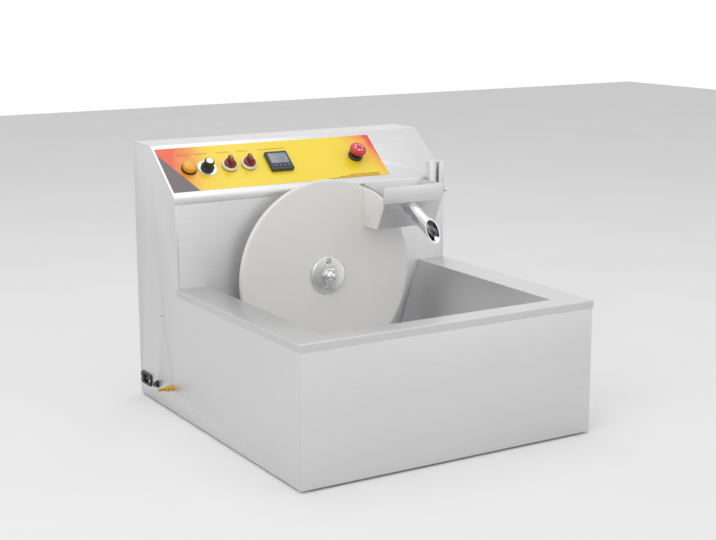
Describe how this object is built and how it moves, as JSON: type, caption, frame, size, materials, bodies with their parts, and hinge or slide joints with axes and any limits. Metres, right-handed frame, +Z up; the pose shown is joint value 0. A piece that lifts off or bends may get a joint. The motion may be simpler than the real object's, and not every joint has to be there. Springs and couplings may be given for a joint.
{
  "type": "chocolate tempering machine",
  "caption": "Wheel-type chocolate tempering machine: a square heated tub, a driven wheel, a scraper trough with a spout, and a sloped console on a tower behind it.",
  "frame": {"origin": "on the floor under the middle of the body, halfway between the side panels and between the rim's front and the rear cover", "axes": "+Z up; -Y is the front, where the operator stands; +X to the operator's right; the wheel's shaft runs along Y"},
  "size_m": [0.632, 0.6666, 0.505],
  "materials": {
    "stainless": "brushed",
    "polished": "polished",
    "white_plastic": "satin",
    "black_plastic": "matte",
    "dark_grey_plastic": "satin",
    "film": "gloss",
    "amber": "gloss",
    "red": "gloss",
    "maroon": "gloss",
    "bezel_white": "gloss",
    "silver": "satin",
    "window": "gloss",
    "key_grey": "matte",
    "brass": "satin",
    "rubber": "matte",
    "cast": "cast",
    "motor_paint": "satin",
    "relay_plastic": "satin",
    "steel": "zinc plated"
  },
  "bodies": {
    "body": {"base_plate": "stainless", "left_side_panel": "stainless", "right_side_panel": "stainless", "tub_front_panel": "stainless", "splash_panel": "stainless", "console_panel": "stainless", "rear_cover": "stainless", "feet": "rubber", "panel_screws": "polished", "basin": "stainless", "basin_heater": "silver", "shaft_bearing": "cast", "gearbox": "cast", "gearmotor": "motor_paint", "motor_rail": "steel", "bracket_channel": "stainless", "channel_screws": "polished", "control_film": "film", "pilot_lamp": "dark_grey_plastic", "pilot_lens": "amber", "potentiometer": "steel", "dial_plate": "black_plastic", "selector_1_body": "bezel_white", "selector_2_body": "bezel_white", "controller_case": "dark_grey_plastic", "controller_window": "window", "stop_collar": "dark_grey_plastic", "mains_inlet": "black_plastic", "inlet_screws": "steel", "fuse_holder": "black_plastic", "earth_stud": "brass", "earth_nuts": "brass", "solid_state_relay": "relay_plastic", "motor_speed_drive": "silver"},
    "wheel": {"wheel_disc": "white_plastic", "hub_flange": "polished", "back_flange": "polished", "hub_screws": "polished", "shaft_nut": "polished", "wheel_shaft": "polished", "shaft_coupling": "steel", "gearbox_output_shaft": "steel"},
    "scraper_unit": {"trough": "stainless", "scraper_blade": "white_plastic", "spout_pipe": "polished", "spout_sleeve": "polished", "trough_hanger": "stainless", "trough_rivets": "steel"},
    "clamp": {"clamp_screw": "polished"},
    "speed_knob": {"speed_knob": "black_plastic", "knob_cap": "silver"},
    "selector_1": {"selector_1_knob": "maroon"},
    "selector_2": {"selector_2_knob": "maroon"},
    "key_1": {"controller_key_1": "key_grey"},
    "key_2": {"controller_key_2": "key_grey"},
    "key_3": {"controller_key_3": "key_grey"},
    "key_4": {"controller_key_4": "key_grey"},
    "stop_stem": {"stop_stem": "black_plastic"},
    "stop_head": {"stop_head": "red"},
    "fuse_cap": {"fuse_cap": "black_plastic"}
  },
  "joints": [
    {"name": "wheel_spin", "type": "hinge", "parent": "body", "child": "wheel", "pos_m": [0, 0.102, 0.2505], "axis": [0, -1, 0], "continuous": true},
    {"name": "trough_lift", "type": "slide", "parent": "body", "child": "scraper_unit", "axis": [0, 0, 1], "range_m": [0, 0.06]},
    {"name": "clamp_turn", "type": "hinge", "parent": "body", "child": "clamp", "pos_m": [0.293, 0.137, 0.389], "axis": [1, 0, 0], "range_deg": [0, 360]},
    {"name": "speed_turn", "type": "hinge", "parent": "body", "child": "speed_knob", "pos_m": [-0.206, 0.19631, 0.46216], "axis": [0, 0.6309, -0.7759], "range_deg": [-150, 150]},
    {"name": "selector_1_turn", "type": "hinge", "parent": "body", "child": "selector_1", "pos_m": [-0.16, 0.19631, 0.46216], "axis": [0, 0.6309, -0.7759], "range_deg": [-45, 45]},
    {"name": "selector_2_turn", "type": "hinge", "parent": "body", "child": "selector_2", "pos_m": [-0.119, 0.19631, 0.46216], "axis": [0, 0.6309, -0.7759], "range_deg": [-45, 45]},
    {"name": "key_1_press", "type": "slide", "parent": "body", "child": "key_1", "axis": [0, 0.6309, -0.7759], "range_m": [0, 0.0006], "stiffness_N_per_m": 400},
    {"name": "key_2_press", "type": "slide", "parent": "body", "child": "key_2", "axis": [0, 0.6309, -0.7759], "range_m": [0, 0.0006], "stiffness_N_per_m": 400},
    {"name": "key_3_press", "type": "slide", "parent": "body", "child": "key_3", "axis": [0, 0.6309, -0.7759], "range_m": [0, 0.0006], "stiffness_N_per_m": 400},
    {"name": "key_4_press", "type": "slide", "parent": "body", "child": "key_4", "axis": [0, 0.6309, -0.7759], "range_m": [0, 0.0006], "stiffness_N_per_m": 400},
    {"name": "stop_press", "type": "slide", "parent": "body", "child": "stop_stem", "axis": [0, 0.6309, -0.7759], "range_m": [0, 0.005], "stiffness_N_per_m": 600},
    {"name": "stop_twist", "type": "hinge", "parent": "stop_stem", "child": "stop_head", "pos_m": [0.119, 0.19631, 0.46216], "axis": [0, 0.6309, -0.7759], "range_deg": [0, 30], "stiffness_Nm_per_rad": 0.1},
    {"name": "fuse_cap_turn", "type": "hinge", "parent": "body", "child": "fuse_cap", "pos_m": [-0.2985, 0.249, 0.04], "axis": [-1, 0, 0], "range_deg": [0, 90]}
  ]
}
